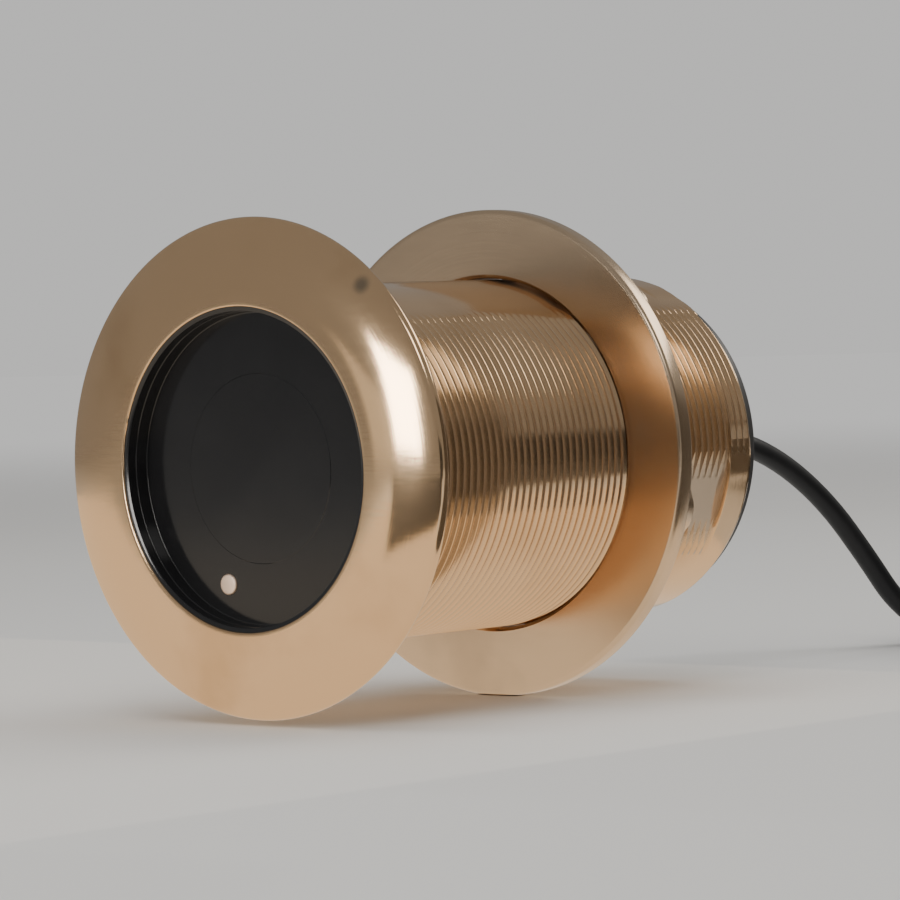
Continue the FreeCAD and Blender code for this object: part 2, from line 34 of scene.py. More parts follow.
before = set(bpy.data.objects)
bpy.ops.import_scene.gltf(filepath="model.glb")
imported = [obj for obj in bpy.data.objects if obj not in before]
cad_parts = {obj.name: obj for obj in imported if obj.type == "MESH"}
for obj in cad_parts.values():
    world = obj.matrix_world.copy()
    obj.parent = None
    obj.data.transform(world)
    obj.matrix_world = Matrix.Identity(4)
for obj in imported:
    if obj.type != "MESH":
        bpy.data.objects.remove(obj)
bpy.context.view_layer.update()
housing_low, housing_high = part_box("housing")
nut_low, nut_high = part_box("hull_nut")
cap_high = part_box("end_cap")[1]
coil_low, coil_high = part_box("cable_coil")
relief_low, relief_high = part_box("strain_relief")

MM = 0.001
STEPS = 240
STEP_DEG = 360 / STEPS

# Casting
front_x = housing_low.x
stem_end_x = housing_high.x
flange_r = housing_high.z
stem_r = 44.45 * MM
thread_pitch = 2.54 * MM
thread_depth = 1.56 * MM
thread_run_in = 3 * MM
root_fillet = 0.8 * MM
edge_round = 1.6 * MM
face_land = 1.5 * MM
lip_round = 0.4 * MM
pocket_r = 39.4 * MM
pocket_floor_x = 6 * MM
bore_r = 37.5 * MM
end_chamfer = 1.6 * MM
# Where the thread is missing, here and on the far side: the middle, half the width and the fade
# at each edge in degrees, how deep the plain surface lies, and the X from which it counts
plain_zones = (
    (70, 20, 11, 0.45 * MM, 0.0),
    (-73, 37.5, 8, 0.1 * MM, 0.100),
    (-56.5, 58.5, 8, 0.1 * MM, 0.1305))
plain_ease_deg = 10
flat_angles = (-18, 162)
flat_depth = 1.9 * MM
flat_start_x = 101 * MM
flat_end_x = 130 * MM
flat_step = 0.06 * MM
spot_place = (0, -37.9 * MM, 43.7 * MM)

# Hull nut
nut_rim_thick = 4.8 * MM
nut_front_edge = 1.2 * MM
nut_back_edge = 0.5 * MM
nut_bore_r = 44.75 * MM
nut_bore_chamfer = 1.0 * MM
nut_hex_flats = 102.4 * MM
nut_corner_deg = -16
nut_hub_r = nut_high.z - 4.5 * MM
nut_hub_edge = 0.5 * MM

# Sound window and sensor button
window_front_gap = 0.45 * MM
window_land = 1.0 * MM
window_ledge_depth = 3.4 * MM
window_upper_draft = 0.05 * MM
window_ledge = 0.2 * MM
window_lower_draft = 0.05 * MM
window_floor_round = 0.3 * MM
window_disc_r = 23 * MM
window_disc_rise = 0.1 * MM
button_y = 11.3 * MM
button_z = -28.3 * MM
button_r = 2.65 * MM
button_crown = 0.7 * MM

# Cable: its first stretch, then the coil and the tail that ends in the plug
cable_r = 3 * MM
relief_tip = Vector((relief_high.x, 0, 0))
floor_z = nut_low.z
cable_route = [
    relief_tip,
    Vector((0.188, 0, 0)),
    Vector((0.211, 0, -0.007)),
    Vector((0.232, -0.001, -0.020)),
    Vector((0.247, -0.004, -0.037)),
    Vector((0.258, -0.0055, -0.050)),
    Vector((0.275, -0.008, floor_z + 0.003)),
    Vector((0.295, -0.011, floor_z + 0.0036)),
]
coil_centre = Vector(((coil_low.x + coil_high.x) / 2, (coil_low.y + coil_high.y) / 2, 0))
coil_outer_r = (coil_high.x - coil_low.x) / 2
coil_columns = 5
coil_whole_turns = 27
turn_points = 16
step_points = 3
coil_inner_r = coil_outer_r - 2 * coil_columns * cable_r
tail_start_deg = 47.5
tail_step_deg = 25
tail_arc_count = 6
tail_bend_r = 45 * MM
tail_centre = coil_centre + Vector((0.015, -0.009, 0))
plug_end = Vector((coil_centre.x + 0.007, coil_centre.y - 0.053, coil_high.z + 0.0113))
tail_route = []
for arc_step in range(tail_arc_count):
    arc_angle = math.radians(tail_start_deg - tail_step_deg * arc_step)
    arc_rise = (1 - arc_step / tail_arc_count) ** 2
    tail_route.append(tail_centre + Vector((
        tail_bend_r * math.cos(arc_angle), tail_bend_r * math.sin(arc_angle),
        plug_end.z - (plug_end.z - coil_high.z + cable_r) * arc_rise)))
tail_route.append(plug_end)
tie_angles = (50, 150, 215)
tie_width = 10 * MM
tie_thick = 1.2 * MM

# Rubber sleeves on the cable: the strain relief and the plug's boot
sleeve_bore = cable_r - 0.2 * MM
sleeve_groove_half = 0.6 * MM
sleeve_groove_depth = 1.3 * MM
relief_root_r = 6.5 * MM
relief_tip_r = 4 * MM
relief_base_thick = 2 * MM
relief_grooves = 5
boot_length = 22 * MM
boot_root_r = 6.8 * MM
boot_tip_r = 3.9 * MM
boot_grooves = 4

# Plug, along +X from the boot's cable end
shell_length = 26 * MM
shell_r = 8.5 * MM
grip_groove_pitch_deg = 60
grip_groove_half_deg = 10
grip_groove_depth = 0.5 * MM
ring_r = 11 * MM
ring_length = 16 * MM
ring_lip = 1.4 * MM
ring_wall = 1.6 * MM
ring_gap = 0.1 * MM
barrel_r = ring_r - ring_wall - ring_lip
grip_end = boot_length + shell_length - ring_length + ring_lip
knurl_pitch_deg = 22.5
knurl_depth = 0.5 * MM
nose_r = 6.4 * MM
nose_length = 9 * MM
pin_count = 6
pin_circle_r = 3.8 * MM
pin_r = 0.6 * MM
pin_length = 6.3 * MM
pin_lead = 0.4 * MM

# Colours that several finishes or the studio share
bronze_colour = (0.82, 0.56, 0.33)
bronze_stain = (0.66, 0.43, 0.235)
bronze_dull = (0.40, 0.35, 0.29)
# Painted shade: a darker, duller bronze for the thread's grooves
groove_painted_shade = (0.50, 0.42, 0.325)
spot_colour = (0.25, 0.21, 0.16)
background = (0.24, 0.237, 0.232)
pale = (0.62, 0.615, 0.605)
card_brown = (0.05, 0.041, 0.033)

# Studio: how high its cards lie above the floor, and the camera, from the photograph's round edges
card_lift = 0.4 * MM
camera_place = (-0.82160, -0.76147, 0.03972)
camera_right = (0.64805, -0.76109, -0.02776)
camera_up = (0.04280, 0.0, 0.99908)
camera_lens_mm = 185.04


class Link:
    """The output of a shader node, so that shader maths reads as sums."""

    def __init__(self, finish, socket):
        self.finish = finish
        self.socket = socket

    def maths(self, operation, *inputs):
        return self.finish.node("ShaderNodeMath", inputs, operation=operation)

    def __add__(self, other):
        return self.maths("ADD", self, other)

    def __radd__(self, other):
        return self.maths("ADD", other, self)

    def __sub__(self, other):
        return self.maths("SUBTRACT", self, other)

    def __rsub__(self, other):
        return self.maths("SUBTRACT", other, self)

    def __mul__(self, other):
        return self.maths("MULTIPLY", self, other)

    def __rmul__(self, other):
        return self.maths("MULTIPLY", other, self)


class Finish:
    """A material. Every node comes from one method, and the maths from the links themselves."""

    def __init__(self, name, **shader_values):
        self.material = bpy.data.materials.new(name)
        self.material.use_nodes = True
        self.tree = self.material.node_tree
        self.shader = self.tree.nodes["Principled BSDF"]
        self.point = self.node("ShaderNodeTexCoord", output="Object")
        self.shade(**shader_values)

    def node(self, kind, inputs=(), output=0, **settings):
        """A new shader node's output. Its inputs go by name or in their order."""
        made = self.tree.nodes.new(kind)
        for name, value in settings.items():
            setattr(made, name, value)
        named = inputs.items() if isinstance(inputs, dict) else enumerate(inputs)
        for key, value in named:
            self.fill(made.inputs[key], value)
        return Link(self, made.outputs[output])

    def fill(self, socket, value):
        """Links a socket to a node's output, or sets its value."""
        if isinstance(value, Link):
            self.tree.links.new(value.socket, socket)
        elif socket.type == "RGBA" and len(value) == 3:
            socket.default_value = (*value, 1)
        else:
            socket.default_value = value

    def shade(self, **values):
        """Fills inputs of the shader, such as base_color for Base Color."""
        for name, value in values.items():
            title = name.replace("_", " ").title().replace("Ior", "IOR")
            self.fill(self.shader.inputs[title], value)

    def noise(self, scale, detail=3, stretch=(1, 1, 1)):
        """Noise from 0 to 1, its scale in cells a metre. Stretch squeezes it along the axes."""
        at = self.node("ShaderNodeVectorMath", (self.point, stretch), operation="MULTIPLY")
        inputs = {"Vector": at, "Scale": scale, "Detail": detail, "Roughness": 0.5}
        return self.node("ShaderNodeTexNoise", inputs, output="Fac")

    def rise(self, value, low, high):
        """0 below low and 1 above high, with a smooth step between."""
        inputs = {"Value": value, "From Min": low, "From Max": high}
        return self.node("ShaderNodeMapRange", inputs, interpolation_type="SMOOTHSTEP")

    def mix(self, share, first, second):
        """A colour between two others. The node has a set of sockets for each kind of value."""
        made = self.tree.nodes.new("ShaderNodeMix")
        made.data_type = "RGBA"
        colours = [s for s in made.inputs if s.type == "RGBA"]
        self.fill(made.inputs[0], share)
        self.fill(colours[0], first)
        self.fill(colours[1], second)
        return Link(self, next(s for s in made.outputs if s.type == "RGBA"))

    def radius(self, centre=(0, 0, 0), axis="X"):
        """How far a point is from a line along an axis."""
        keep = {"X": (0, 1, 1), "Y": (1, 0, 1), "Z": (1, 1, 0)}[axis]
        away = self.node("ShaderNodeVectorMath", (self.point, centre), operation="SUBTRACT")
        flat = self.node("ShaderNodeVectorMath", (away, keep), operation="MULTIPLY")
        return self.node("ShaderNodeVectorMath", (flat,), output="Value", operation="LENGTH")

    def along(self, axis):
        """A point's X, Y or Z."""
        return self.node("ShaderNodeSeparateXYZ", (self.point,), output=axis)

    def bump(self, height, distance):
        """Height from 0 to 1 as bumps that are that many metres deep."""
        inputs = {"Strength": 1.0, "Distance": distance, "Height": height}
        self.shade(normal=self.node("ShaderNodeBump", inputs))


def bronze(name, base, stain, rough, turned):
    """Burnished cast bronze: faint cloudy stains, fine scratches and turning marks."""
    made = Finish(name)
    cloud = made.noise(38, 4)
    patch = made.noise(11, 3)
    scratch = made.noise(900, 2, (1, 0.12, 1))
    stained = made.rise(cloud * 0.6 + patch * 0.4, 0.5, 0.72)
    radius = made.radius()
    ring_place = made.node("ShaderNodeCombineXYZ", (radius, made.along("X"), 0))
    ring_inputs = {"Vector": ring_place, "Scale": turned, "Detail": 2}
    rings = made.node("ShaderNodeTexNoise", ring_inputs, output="Fac")
    made.shade(base_color=made.mix(stained * 0.8, base, stain), metallic=0.94 - 0.12 * stained)
    uneven = 0.07 * (cloud - 0.5) + 0.05 * (scratch - 0.5) + 0.05 * (rings - 0.5)
    made.shade(roughness=rough + uneven)
    made.bump(rings * 0.6 + scratch * 0.4, 0.000012)
    return made


def thread_bronze(name, base, stain, rough):
    """The casting's bronze: painted shade in the thread's grooves, a spot on the face, a dull back.
    """
    made = bronze(name, base, stain, rough, 2600)
    radius = made.radius()
    hollow = 1 - made.rise(radius, stem_r - thread_depth, stem_r - 0.1 * thread_depth)
    outside = made.rise(radius, bore_r, bore_r + 0.002)
    groove = made.rise(made.along("X"), 0.002, 0.003) * hollow * outside
    seat = made.rise(made.along("X"), -0.0016, -0.0004) * made.rise(radius, 0.0455, 0.047)
    polished = Link(made, made.shader.inputs["Base Color"].links[0].from_socket)
    # Painted shade: the thread's grooves are darkened and dulled here, and made less metallic below
    groove_shaded = made.mix(groove * 0.6, polished, groove_painted_shade)
    front = 1 - made.rise(made.along("X"), -0.003, -0.002)
    spot = front * (1 - made.rise(made.radius(spot_place), 0.0005, 0.003))
    dulled = made.mix(spot * 0.8, groove_shaded, spot_colour)
    made.shade(base_color=made.mix(seat, dulled, bronze_dull), metallic=0.94 - 0.4 * groove)
    return made


def moulded(name, colour, rough, grain=0.00003, cells=1500, **values):
    """Moulded plastic or rubber with a fine grain and slightly uneven gloss."""
    made = Finish(name, **values)
    fine = made.noise(cells, 2)
    cloud = made.noise(60, 3)
    lighter = tuple(min(1, c * 1.35 + 0.004) for c in colour)
    made.shade(base_color=made.mix(cloud, colour, lighter))
    made.shade(roughness=rough + 0.12 * (cloud - 0.5))
    made.bump(fine, grain)
    return made


def glossy_window():
    """The black urethane window: glossy, with faint mould haze."""
    made = Finish("black_window", metallic=0.0)
    haze = made.noise(45, 4)
    fine = made.noise(700, 2)
    made.shade(base_color=made.mix(haze, (0.010, 0.010, 0.011), (0.018, 0.018, 0.019)))
    made.shade(roughness=0.13 + 0.06 * (haze - 0.5))
    made.bump(fine, 0.000003)
    return made


def metal(name, colour, rough, cells=1200):
    """Plain metal parts: fine scratches and a little unevenness."""
    made = Finish(name, metallic=1.0)
    scratch = made.noise(cells, 3, (1, 0.2, 1))
    darker = tuple(c * 0.75 for c in colour)
    made.shade(base_color=made.mix(scratch * 0.6, colour, darker))
    made.shade(roughness=rough + 0.1 * (scratch - 0.5))
    made.bump(scratch, 0.00001)
    return made


def speckled(name, first, second, rough, cells):
    """Pressed or fired matter whose grains show."""
    made = Finish(name)
    inputs = {"Vector": made.point, "Scale": cells}
    grain = made.node("ShaderNodeTexVoronoi", inputs, output="Distance")
    fine = made.noise(cells * 2, 3)
    made.shade(base_color=made.mix(made.rise(grain + 0.4 * fine, 0.2, 0.9), first, second))
    made.shade(roughness=rough + 0.1 * (fine - 0.5))
    made.bump(grain, 0.0001)
    return made


def woven(name, colour, pitch):
    """A woven band: two crossed sets of ribs."""
    made = Finish(name, sheen_weight=0.3)
    inputs = {"Vector": made.point, "Scale": 1 / pitch / 6.28}
    across = made.node("ShaderNodeTexWave", inputs, output="Fac", bands_direction="DIAGONAL")
    fuzz = made.noise(2500, 2)
    lighter = tuple(c * 2.2 + 0.01 for c in colour)
    made.shade(base_color=made.mix(across * 0.6 + fuzz * 0.3, colour, lighter))
    made.shade(roughness=0.85 + 0.1 * (fuzz - 0.5))
    made.bump(across + fuzz, 0.00012)
    return made


casting = thread_bronze("casting_bronze", bronze_colour, bronze_stain, 0.115)
nut_bronze = bronze("nut_bronze", (0.70, 0.53, 0.365), (0.56, 0.43, 0.30), 0.24, 1800)
# Painted highlight: the button's bronze is much paler than the casting's, so that it looks brightly
# lit
button_bronze_painted_bright = metal("button_bronze_painted_bright", (1.0, 0.80, 0.65), 0.55, 600)
window_black = glossy_window()
cap_black = moulded("cap_black", (0.038, 0.037, 0.037), 0.42)
rubber_black = moulded("relief_rubber", (0.016, 0.016, 0.016), 0.48, 0.00004, 900)
jacket_black = moulded(
    "cable_jacket", (0.014, 0.014, 0.015), 0.45, 0.00003, 1100, specular_ior_level=0.35)
plug_black = moulded("plug_black", (0.02, 0.02, 0.021), 0.45, 0.00005, 2200)
insert_grey = moulded("insert_grey", (0.12, 0.12, 0.125), 0.4)
contact_gold = metal("contact_gold", (0.85, 0.62, 0.25), 0.18)
tie_cloth = woven("tie_cloth", (0.02, 0.02, 0.021), 0.0012)
inner_finishes = {
    "thermistor_bead": moulded("bead_resin", (0.20, 0.07, 0.04), 0.3),
    "thermistor_wires": metal("tinned_wire", (0.72, 0.72, 0.72), 0.3),
    "element_wedge": moulded("wedge_resin", (0.30, 0.25, 0.17), 0.35, 0.00002, 800),
    "front_electrode": metal("front_foil", (0.86, 0.85, 0.83), 0.3),
    "ceramic_disc": speckled("fired_ceramic", (0.62, 0.52, 0.36), (0.72, 0.64, 0.48), 0.6, 1800),
    "rear_electrode": metal("rear_foil", (0.84, 0.83, 0.81), 0.32),
    "cork_backing": speckled("cork_pad", (0.30, 0.17, 0.08), (0.55, 0.36, 0.20), 0.85, 900),
    "cork_sleeve": speckled("cork_ring", (0.28, 0.16, 0.08), (0.52, 0.34, 0.19), 0.85, 900),
    "element_cup": moulded("cup_plastic", (0.70, 0.70, 0.67), 0.4),
    "front_lead": moulded("black_wire", (0.02, 0.02, 0.02), 0.4),
    "rear_lead": moulded("red_wire", (0.45, 0.03, 0.02), 0.4),
    "front_potting": moulded("front_resin", (0.03, 0.03, 0.03), 0.3, 0.00004, 500),
    "board_posts": moulded("post_nylon", (0.78, 0.76, 0.68), 0.45),
    "circuit_board": speckled("board_laminate", (0.02, 0.16, 0.06), (0.04, 0.24, 0.10), 0.4, 2400),
    "transformer_core": speckled(
        "sintered_ferrite", (0.06, 0.06, 0.065), (0.12, 0.12, 0.125), 0.6, 2500),
    "transformer_winding": metal("enamelled_copper", (0.62, 0.24, 0.09), 0.28),
    "tuning_resistor": moulded("resistor_lacquer", (0.55, 0.42, 0.24), 0.35),
    "tuning_capacitor": moulded("capacitor_case", (0.36, 0.04, 0.03), 0.25),
    "cable_inner_end": moulded("inner_jacket", (0.018, 0.018, 0.019), 0.42),
    "core_wires": moulded("core_insulation", (0.40, 0.04, 0.03), 0.4),
    "rear_potting": moulded("rear_resin", (0.03, 0.03, 0.03), 0.3, 0.00004, 500),
}


def piece(name, bm, finish, body, sharp_deg=35, stands_for=()):
    """Makes a finished object from a bmesh, hangs it on its body and hides the CAD parts it stands
    for.
    """
    bmesh.ops.recalc_face_normals(bm, faces=bm.faces)
    mesh = bpy.data.meshes.new(name)
    bm.to_mesh(mesh)
    bm.free()
    mesh.materials.append(finish.material)
    for face in mesh.polygons:
        face.use_smooth = True
    mesh.set_sharp_from_angle(angle=math.radians(sharp_deg))
    made = bpy.data.objects.new(name, mesh)
    bpy.context.scene.collection.objects.link(made)
    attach(made, body)
    if stands_for:
        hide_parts(*stands_for)
    return made


def arc(x, radius, size, start_deg, end_deg, parts=8):
    """Points (x, radius) along an arc. 0 degrees is towards +X, and 90 away from the axis."""
    points = []
    for k in range(parts + 1):
        a = math.radians(start_deg + (end_deg - start_deg) * k / parts)
        points.append((x + size * math.cos(a), radius + size * math.sin(a)))
    return points


def lathe(profile, steps=STEPS, closed=True, y=0.0, z=0.0):
    """Turns a profile of (x, radius) points round a line along X."""
    bm = bmesh.new()
    verts = [bm.verts.new((x, y - radius, z)) for x, radius in profile]
    pairs = list(zip(verts, verts[1:]))
    if closed:
        pairs.append((verts[-1], verts[0]))
    edges = [bm.edges.new(pair) for pair in pairs]
    bmesh.ops.spin(
        bm, geom=verts + edges, cent=(0, y, z), axis=(1, 0, 0), dvec=(0, 0, 0),
        angle=math.tau, steps=steps, use_merge=True)
    bmesh.ops.remove_doubles(bm, verts=bm.verts, dist=1e-7)
    return bm


def angle_of(point):
    """A point's angle round the stem, in degrees."""
    return math.degrees(math.atan2(point.z, -point.y))


def turned_by(angle, middle):
    """How far an angle is from another, from -180 to 180 degrees."""
    return (angle - middle + 180) % 360 - 180


def smooth(value):
    """A smooth step from 0 to 1."""
    value = max(0.0, min(1.0, value))
    return value * value * (3 - 2 * value)


def radius_of(vert):
    """A vertex's distance from the stem's axis."""
    return math.hypot(vert.co.y, vert.co.z)


def set_radius(vert, radius):
    """Moves a vertex towards or away from the stem's axis."""
    away = Vector((0, vert.co.y, vert.co.z)).normalized() * radius
    vert.co = (vert.co.x, away.y, away.z)


def edge_loop(bm, x):
    """The open edges that lie at one X."""
    return [e for e in bm.edges if e.is_boundary and all(abs(v.co.x - x) < 1e-6 for v in e.verts)]


def extend(bm, loop, profile):
    """Extrudes a loop of edges through points (x, radius), or (x, a function of the angle)."""
    for x, radius in profile:
        made = bmesh.ops.extrude_edge_only(bm, edges=loop)["geom"]
        for vert in made:
            if isinstance(vert, bmesh.types.BMVert):
                vert.co.x = x
                set_radius(vert, radius(angle_of(vert.co)) if callable(radius) else radius)
        loop = [e for e in made if isinstance(e, bmesh.types.BMEdge)]
    return loop


def dome_profile():
    """The flange from its back face over the rounded edge and the dome to the recess's shoulder."""
    edge_r = flange_r - edge_round
    land_r = pocket_r + lip_round + face_land
    thick = -front_x
    reach = edge_r - land_r
    rise = thick - edge_round
    dome_r = (rise ** 2 + reach ** 2 - edge_round ** 2) / (2 * (thick - 2 * edge_round))
    slope = math.degrees(math.asin(reach / (dome_r - edge_round)))
    dome = arc(front_x + dome_r, land_r, dome_r, 180 - slope, 180, 24)
    points = arc(root_fillet, stem_r + root_fillet, root_fillet, 270, 180, 5)
    points += arc(-edge_round, edge_r, edge_round, 0, 180 - slope, 12)
    points += dome[1:]
    points += [(front_x, pocket_r + lip_round + face_land / 2)]
    points += arc(front_x + lip_round, pocket_r + lip_round, lip_round, 180, 270, 6)
    points += [(front_x + 3 * MM, pocket_r), (pocket_floor_x, pocket_r), (pocket_floor_x, bore_r)]
    return points


def threaded_tube(start_x, end_x):
    """A right-handed thread between two planes, as a toothed line that turns and moves a pitch."""
    # One tooth from its rounded crest to its rounded root: share of the pitch, and depth
    tooth = [(0, 0.03), (0.055, 0), (0.11, 0.03), (0.45, 1.5), (0.555, 1.56), (0.66, 1.5)]
    deepest = max(depth for share, depth in tooth)
    bm = bmesh.new()
    first = start_x - 2 * thread_pitch
    count = math.ceil((end_x - first) / thread_pitch) + 1
    verts = []
    for k in range(count):
        for share, depth in tooth:
            x = first + (k + share) * thread_pitch
            verts.append(bm.verts.new((x, -stem_r + thread_depth * depth / deepest, 0)))
    edges = [bm.edges.new(pair) for pair in zip(verts, verts[1:])]
    bmesh.ops.spin(
        bm, geom=verts + edges, cent=(0, 0, 0), axis=(1, 0, 0), dvec=(thread_pitch / STEPS, 0, 0),
        angle=math.tau, steps=STEPS, use_merge=False)
    bmesh.ops.remove_doubles(bm, verts=bm.verts, dist=1e-6)
    for x, outer in ((start_x, False), (end_x, True)):
        bmesh.ops.bisect_plane(
            bm, geom=bm.verts[:] + bm.edges[:] + bm.faces[:], plane_co=(x, 0, 0),
            plane_no=(1, 0, 0), clear_outer=outer, clear_inner=not outer)
    return bm


def cut_across(bm, point, normal, near):
    """Adds edges where a plane crosses the faces whose middle the test near accepts."""
    faces = [f for f in bm.faces if near(f.calc_center_median())]
    geom = set(faces)
    for face in faces:
        geom.update(face.edges)
        geom.update(face.verts)
    bmesh.ops.bisect_plane(bm, geom=list(geom), dist=1e-7, plane_co=point, plane_no=normal)


def cut_flat(bm, middle_deg):
    """Planes a wrench flat across the thread, so that its teeth run out at the flat's edges."""
    a = math.radians(middle_deg)
    outward = Vector((0, -math.cos(a), math.sin(a)))
    height = stem_r - flat_depth
    reach = math.degrees(math.acos(height / stem_r)) + 2 * STEP_DEG

    def near(point):
        return abs(turned_by(angle_of(point), middle_deg)) < reach

    for x in (flat_start_x, flat_start_x + flat_step, flat_end_x - flat_step, flat_end_x):
        cut_across(bm, (x, 0, 0), (1, 0, 0), near)
    cut_across(
        bm, outward * height, outward,
        lambda point: near(point) and flat_start_x < point.x < flat_end_x)
    for vert in bm.verts:
        above = vert.co.dot(outward) - height
        inside = flat_start_x + flat_step / 2 < vert.co.x < flat_end_x - flat_step / 2
        if above > 0 and inside:
            vert.co -= outward * above


def casting_piece():
    """The whole bronze casting as one closed mesh."""
    bm = threaded_tube(root_fillet, stem_end_x)
    for vert in bm.verts:
        radius = radius_of(vert)
        grown = smooth((vert.co.x - root_fillet) / thread_run_in)
        radius = stem_r - (stem_r - radius) * grown
        for middle, half, fade, depth, first_x in plain_zones:
            beyond = abs(turned_by(2 * angle_of(vert.co), 2 * middle)) / 2 - half
            here = grown * smooth((vert.co.x - first_x) / thread_pitch * 4 + 1)
            radius += (stem_r - radius) * (1 - min(1, max(0, beyond / fade + 0.5))) * here
            radius = min(radius, stem_r - depth * smooth(-beyond / plain_ease_deg) * here)
        radius = min(radius, stem_r - (vert.co.x - (stem_end_x - end_chamfer)))
        set_radius(vert, radius)
    for middle in flat_angles:
        cut_flat(bm, middle)
    front = extend(bm, edge_loop(bm, root_fillet), dome_profile()[1:])
    rear = extend(bm, edge_loop(bm, stem_end_x), [(stem_end_x, bore_r)])
    bmesh.ops.bridge_loops(bm, edges=front + rear)
    return piece("casting", bm, casting, "transducer", 32, ["housing"])


def nut_piece():
    """The hull nut: a round rim, a hexagon behind it and a plain bore with chamfers."""
    rim_back = nut_low.x + nut_rim_thick

    def hexagon(inset):
        def radius(angle):
            from_flat = abs(turned_by((angle - nut_corner_deg) % 60, 30))
            flat_r = nut_hex_flats / 2 / math.cos(math.radians(from_flat))
            return min(flat_r, nut_hub_r) - inset
        return radius

    bm = bmesh.new()
    start = bmesh.ops.create_circle(bm, segments=STEPS, radius=nut_bore_r)["verts"]
    turn = Matrix.Rotation(math.radians(-nut_corner_deg), 4, "X")
    upright = Matrix.Rotation(math.pi / 2, 4, "Y")
    bmesh.ops.transform(bm, matrix=turn @ upright, verts=start)
    for vert in start:
        vert.co.x = nut_low.x + nut_bore_chamfer
    x = nut_low.x
    r = nut_high.z
    front = [(x, nut_bore_r + nut_bore_chamfer), (x, nut_bore_r + 2 * nut_bore_chamfer)]
    front += arc(x + nut_front_edge, r - nut_front_edge, nut_front_edge, 180, 90, 8)
    front += arc(rim_back - nut_back_edge, r - nut_back_edge, nut_back_edge, 90, 0, 5)
    front += [(rim_back, nut_hub_r + 0.6 * MM), (rim_back, hexagon(0))]
    front += [(nut_high.x - nut_hub_edge, hexagon(0))]
    parts = 4
    for k in range(1, parts + 1):
        a = math.radians(90 * k / parts)
        inset = nut_hub_edge * (1 - math.cos(a))
        front.append((nut_high.x - nut_hub_edge * (1 - math.sin(a)), hexagon(inset)))
    front += [
        (nut_high.x, nut_bore_r + nut_bore_chamfer), (nut_high.x - nut_bore_chamfer, nut_bore_r)]
    loop = extend(bm, bm.edges[:], front)
    first = [e for e in bm.edges if e.is_boundary and e not in loop]
    bmesh.ops.bridge_loops(bm, edges=loop + first)
    return piece("nut", bm, nut_bronze, "hull_nut", 28, ["hull_nut"])


def window_piece():
    """The black window: arched rim, ledge, rounded floor and the low disc on its face."""
    rim_x = front_x + window_front_gap
    ledge_x = front_x + window_ledge_depth
    rim_r = pocket_r - 0.02 * MM
    upper_r = rim_r - window_land - window_upper_draft
    lower_top = upper_r - window_ledge
    lower_r = lower_top - window_lower_draft
    round_in = 0.12 * MM
    start, end = 8, 24
    bow = window_land / (math.sin(math.radians(end)) - math.sin(math.radians(start)))
    bow_x = rim_x + bow * math.cos(math.radians(start))
    bow_r = rim_r + bow * math.sin(math.radians(start))
    profile = arc(bow_x, bow_r, bow, 180 + start, 180 + end, 6)
    profile += [(ledge_x - round_in, upper_r)]
    profile += arc(ledge_x + round_in, lower_top + round_in, round_in, 180, 270, 4)
    profile += arc(-window_floor_round, lower_r - window_floor_round, window_floor_round, 90, 0, 6)
    edge = 0.15 * MM
    outer_ring = lower_r - 1.5 * window_floor_round
    profile += [(0, r) for r in (outer_ring, window_disc_r + 3 * edge, window_disc_r + edge)]
    disc_rings = (window_disc_r, window_disc_r - 2 * edge, 8 * MM, 0)
    profile += [(-window_disc_rise, r) for r in disc_rings]
    profile += [(pocket_floor_x, 0), (pocket_floor_x, rim_r)]
    bm = lathe(profile)
    return piece("window", bm, window_black, "transducer", 25, ["sound_window"])


def button_piece():
    """The low bronze sensor that comes through the window."""
    edge = 0.55 * MM
    flat_r = button_r - edge
    bulge = 0.1 * MM
    crown_r = (flat_r ** 2 + bulge ** 2) / (2 * bulge)
    half = math.degrees(math.asin(flat_r / crown_r))
    profile = arc(crown_r - button_crown, 0, crown_r, 180, 180 - half, 6)
    profile += arc(bulge - button_crown + edge, flat_r, edge, 180, 90, 6)
    profile += [(0.0003, button_r)]
    bm = lathe(profile, 64, False, button_y, button_z)
    open_edges = [e for e in bm.edges if e.is_boundary]
    bmesh.ops.holes_fill(bm, edges=open_edges, sides=0)
    return piece(
        "button", bm, button_bronze_painted_bright, "transducer", 40, ["temperature_button"])


def cap_piece():
    """The black end cap, with a rounded rim and a shallow groove near it."""
    x = cap_high.x
    r = cap_high.z
    rim = 0.7 * MM
    hole = cable_r + 0.1 * MM
    groove_x = x - 0.35 * MM
    profile = [(stem_end_x, hole), (stem_end_x, r)]
    profile += arc(x - rim, r - rim, rim, 90, 0, 6)
    profile += [(x, r - 3 * MM), (groove_x, r - 3.4 * MM)]
    profile += [(groove_x, r - 4.4 * MM), (x, r - 4.8 * MM)]
    profile += [(x, 12 * MM), (x, hole)]
    bm = lathe(profile)
    return piece("cap", bm, cap_black, "transducer", 30, ["end_cap"])


def sleeve_profile(start_x, length, root_r, tip_r, grooves, base=None):
    """A grooved rubber sleeve from its thick end to its tip, as a closed profile.

    A base is the radius and the thickness of a flange at the thick end."""
    points = [(start_x, sleeve_bore)]
    base_r, base_thick = base or (root_r, 0)
    edge = 0.5 * MM
    if base:
        points.append((start_x, base_r))
        points += arc(start_x + base_thick - edge, base_r - edge, edge, 90, 0, 4)
    pitch = length / (grooves + 1)
    half = sleeve_groove_half
    points.append((start_x + base_thick, root_r))
    for k in range(1, grooves + 1):
        x = start_x + k * pitch
        r = root_r + (tip_r - root_r) * k / (grooves + 1)
        floor = max(r - sleeve_groove_depth, sleeve_bore + 0.3 * MM)
        points += [(x - half, r), (x - 0.7 * half, floor), (x + 0.7 * half, floor), (x + half, r)]
    tip = 0.5 * MM
    points += arc(start_x + length - tip, tip_r - tip, tip, 80, 10, 4)
    points.append((start_x + length, sleeve_bore))
    return points


